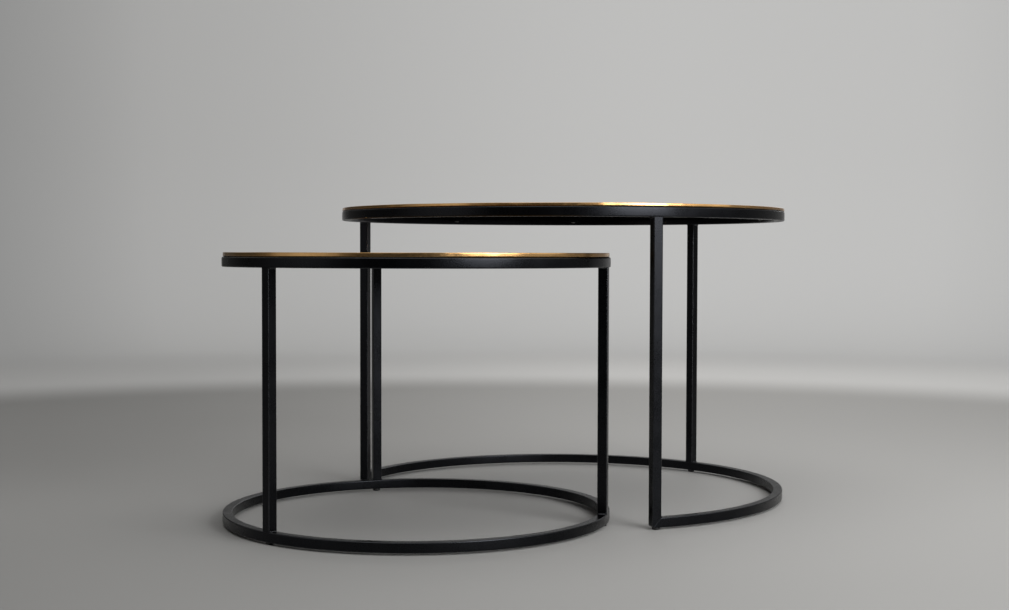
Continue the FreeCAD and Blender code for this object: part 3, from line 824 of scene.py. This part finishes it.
def add_camera():
    """Stands the camera where the set is seen from, looking a little down."""
    camera = bpy.data.cameras.new("camera")
    camera.lens = CAMERA_LENS
    camera.sensor_width = SENSOR_WIDTH
    camera.clip_start = 0.05
    camera.clip_end = 100
    camera.dof.use_dof = False
    stand = bpy.data.objects.new("camera", camera)
    bpy.context.scene.collection.objects.link(stand)
    place = AXES["large"] + turned(CAMERA_TURN, CAMERA_RANGE)
    place.z = CAMERA_HEIGHT
    level = -turned(CAMERA_TURN)
    level.rotate(Matrix.Rotation(CAMERA_PAN, 3, "Z"))
    down = Vector((0, 0, -1))
    ahead = level * math.cos(CAMERA_PITCH) + down * math.sin(CAMERA_PITCH)
    level_right = ahead.cross(Vector((0, 0, 1))).normalized()
    level_up = level_right.cross(ahead)
    right = level_right * math.cos(CAMERA_ROLL) + level_up * math.sin(CAMERA_ROLL)
    up = right.cross(ahead)
    turn = Matrix((right, up, -ahead)).transposed()
    stand.matrix_world = Matrix.Translation(place) @ turn.to_4x4()
    bpy.context.scene.camera = stand


add_camera()

# ---------------------------------------------------------------- stage and light

FLOOR_COLOUR = (0.54, 0.525, 0.503)
FLOOR_CLOUD = 0.93  # the darker blotches of the paint
FLOOR_DULL = (0.6, 0.72)
NEAR_FLOOR = 0.8  # share of its brightness that the floor keeps on the camera's side
NEAR_SPAN = (-0.1, 0.9)  # how far from the middle towards the camera this starts and is full
LEFT_FLOOR = 0.68  # the same share on the camera's left
LEFT_SPAN = (-1.3, 0.6)  # how far from the middle to the right this is full and ends
FLOOR_DIM = (0.06, 0.06, 0.06)  # the floor far out towards the camera and the lamps
DIM_START = 0.85
DIM_FULL = 1.7
LAMPS_TURN = math.radians(55)  # direction of the lamps, from the camera's side to its right
LAMP_DIM_START = 1.1
LAMP_DIM_FULL = 1.9

WALL_DIM = (0.02, 0.02, 0.02)
WALL_GLOW = 0.60  # glow of the wall in reflections
WALL_STOPS = (  # degrees round from the camera's side towards its right, share of that glow
    (-180, 0.62), (-158, 0.62), (-149, 0.08), (-102, 0.05), (-88, 0.13), (-76, 0.4), (-64, 0.6),
    (-50, 0.66), (-41, 0.3), (-33, 0.05), (12, 0.04), (22, 0.2), (30, 0.3), (95, 0.3),
    (112, 0.22), (148, 0.22), (158, 0.62), (180, 0.62),
)
HIGH_GLOW = 0.5  # least share of that glow high up on the wall, in every direction
HIGH_START = 1.45
HIGH_FULL = 2.2
GLOW_START = 2.0  # the glow in reflections starts on the floor, this far out
GLOW_FULL = 4.6

WALL_SEEN = 0.41  # glow of the wall for the eye
LEFT_WALL = 0.62  # the share of it on the camera's left
LEFT_WALL_SPAN = (-2.6, 0.8)
FLOOR_SEEN = 0.25  # glow for the eye that makes up for the dim floor
FAR_START = 2.05  # half of that glow sets in on the floor, between these distances
FAR_FULL = 2.7

COVE_FLAT = 3.9
COVE_SWEEP = 0.9
COVE_HEIGHT = 4.2
COVE_STEPS = 14
COVE_SIDES = 128
WALL_START = COVE_FLAT * 0.8  # the paint turns from floor to wall between these distances
WALL_FULL = COVE_FLAT + COVE_SWEEP


def add_cove():
    """A pale floor whose edge sweeps up into a round wall."""
    middle = (CAD_BOX[0] + CAD_BOX[1]) / 2
    line = [(COVE_FLAT * third / 3, 0.0) for third in range(4)]
    for step in range(1, COVE_STEPS + 1):
        angle = math.pi / 2 * step / COVE_STEPS
        out = COVE_FLAT + COVE_SWEEP * math.sin(angle)
        line.append((out, COVE_SWEEP * (1 - math.cos(angle))))
    line.append((COVE_FLAT + COVE_SWEEP, COVE_HEIGHT))
    maker = bmesh.new()
    rings = []
    for out, height in line:
        ring = []
        for side in range(COVE_SIDES if out else 1):
            level = turned(FULL_TURN * side / COVE_SIDES, out)
            ring.append(maker.verts.new((middle.x + level.x, middle.y + level.y, height)))
        rings.append(ring)
    for near, far in zip(rings, rings[1:]):
        for side in range(COVE_SIDES):
            ahead = (side + 1) % COVE_SIDES
            if len(near) == 1:
                corners = (near[0], far[side], far[ahead])
            else:
                corners = (near[side], far[side], far[ahead], near[ahead])
            maker.faces.new(corners).smooth = True
    mesh = bpy.data.meshes.new("cove")
    maker.to_mesh(mesh)
    maker.free()
    mesh.materials.append(cove_paint(middle))
    cove = bpy.data.objects.new("cove", mesh)
    bpy.context.scene.collection.objects.link(cove)
    cove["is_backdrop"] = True


def glow_round(r, side, front):
    """The share of the glow in reflections, by direction from the tables."""
    # A full turn goes from 0 to 1, and the camera's side is at 0.5.
    turn = r.spread(r.maths("ARCTAN2", side, front), -math.pi, math.pi, 0, 1)
    ramp = r.tree.nodes.new("ShaderNodeValToRGB")
    r.feed(ramp.inputs["Fac"], turn)
    stops = ramp.color_ramp.elements
    while len(stops) < len(WALL_STOPS):
        stops.new(0.5)
    for stop, (degrees, brightness) in zip(stops, WALL_STOPS):
        stop.position = degrees / 360 + 0.5
        stop.color = (brightness, brightness, brightness, 1)
    return ramp.outputs["Color"]


def cove_paint(middle):
    """Pale grey paint that glows one way in reflections and another way for the eye."""
    r = Recipe("cove_paint")
    from_middle = r.vector("SUBTRACT", r.place, (middle.x, middle.y, 0))
    level = r.vector("MULTIPLY", from_middle, (1, 1, 0))
    distance = r.vector("LENGTH", level)
    height = r.along(r.place, UP)
    front = r.along(level, tuple(turned(CAMERA_TURN)))
    side = r.along(level, tuple(turned(CAMERA_TURN + math.pi / 2)))
    lampward = r.along(level, tuple(turned(CAMERA_TURN + LAMPS_TURN)))

    cloud = r.noise(0.8, detail=4, roughness=0.55)
    pale = r.blend(cloud, [part * FLOOR_CLOUD for part in FLOOR_COLOUR], FLOOR_COLOUR)
    left_shade = r.spread(side, *LEFT_SPAN, LEFT_FLOOR, 1, smooth=True)
    near_shade = r.spread(front, *NEAR_SPAN, 1, NEAR_FLOOR, smooth=True)
    shaded = r.blend(r.times(left_shade, near_shade), (0, 0, 0), pale)
    by_camera = r.spread(front, DIM_START, DIM_FULL, 0, 1, smooth=True)
    by_lamps = r.spread(lampward, LAMP_DIM_START, LAMP_DIM_FULL, 0, 1, smooth=True)
    dim = r.highest(by_camera, by_lamps)
    floor = r.blend(dim, shaded, FLOOR_DIM)
    high_up = r.spread(height, HIGH_START, HIGH_FULL, 0, HIGH_GLOW, smooth=True)
    lit = r.highest(glow_round(r, side, front), high_up)
    wall = r.blend(lit, WALL_DIM, FLOOR_COLOUR)
    on_wall = r.spread(distance, WALL_START, WALL_FULL, 0, 1, smooth=True)
    r.set(Base_Color=r.blend(on_wall, floor, wall))
    r.set(Roughness=r.swing(cloud, *FLOOR_DULL), Specular_IOR_Level=0.1)

    rays = r.tree.nodes.new("ShaderNodeLightPath").outputs
    reflected = r.highest(rays["Is Glossy Ray"], rays["Is Transmission Ray"])
    far_off = r.spread(distance, GLOW_START, GLOW_FULL, 0, 1, smooth=True)
    in_gloss = r.times(lit, WALL_GLOW, reflected, far_off)
    far_floor = r.spread(distance, FAR_START, FAR_FULL, 0, 0.5, smooth=True)
    up_wall = r.spread(distance, WALL_START, WALL_FULL, 0, 0.5, smooth=True)
    far_pale = r.maths("ADD", far_floor, up_wall)
    from_left = r.spread(side, *LEFT_WALL_SPAN, LEFT_WALL, 1, smooth=True)
    wall_seen = r.times(far_pale, from_left, WALL_SEEN)
    floor_seen = r.times(dim, r.spread(far_pale, 0, 1, 1, 0), FLOOR_SEEN)
    to_eye = r.times(r.maths("ADD", wall_seen, floor_seen), rays["Is Camera Ray"])
    r.set(Emission_Color=(1, 1, 0.99, 1), Emission_Strength=r.maths("ADD", in_gloss, to_eye))
    return r.material


def add_softbox(name, turn, lift, distance, width, height, brightness, colour=(1, 1, 1)):
    """A soft rectangular lamp aimed at the tables; its power grows with size and brightness."""
    middle = (CAD_BOX[0] + CAD_BOX[1]) / 2
    lamp = bpy.data.lights.new(name, "AREA")
    lamp.shape = "RECTANGLE"
    lamp.size = width
    lamp.size_y = height
    lamp.energy = brightness * math.pi * width * height
    lamp.color = colour
    stand = bpy.data.objects.new(name, lamp)
    bpy.context.scene.collection.objects.link(stand)
    level = turned(CAMERA_TURN + math.radians(turn), math.cos(math.radians(lift)))
    place = (level + Vector((0, 0, math.sin(math.radians(lift))))) * distance
    stand.location = middle + place
    stand.rotation_euler = place.to_track_quat("Z", "Y").to_euler()
    stand.visible_camera = False


add_cove()
# Turns go from the camera's side to its right, lifts go up from level, both in degrees.
add_softbox(
    "key", turn=40, lift=19, distance=3.1, width=1.55, height=1.5, brightness=8.6,
    colour=(0.96, 0.98, 1.0),
)
add_softbox(
    "side", turn=74, lift=28, distance=3.0, width=1.8, height=2.0, brightness=0.85,
    colour=(0.97, 0.99, 1.0),
)
add_softbox("top", turn=20, lift=84, distance=2.8, width=3.4, height=3.4, brightness=0.78)
add_softbox("rear", turn=165, lift=26, distance=3.4, width=2.6, height=1.6, brightness=1.15)

WORLD_COLOUR = (0.95, 0.98, 1.0, 1)
WORLD_STRENGTH = 0.34
world = bpy.data.worlds.new("studio")
world.use_nodes = True
backdrop = world.node_tree.nodes["Background"]
backdrop.inputs["Color"].default_value = WORLD_COLOUR
backdrop.inputs["Strength"].default_value = WORLD_STRENGTH
bpy.context.scene.world = world
bpy.context.scene.view_settings.view_transform = "Standard"

# ---------------------------------------------------------------- hand over

SHOWN_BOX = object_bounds()
boxes = {"cad": CAD_BOX, "visual": SHOWN_BOX}
{name: [list(corner) for corner in box] for name, box in boxes.items()}
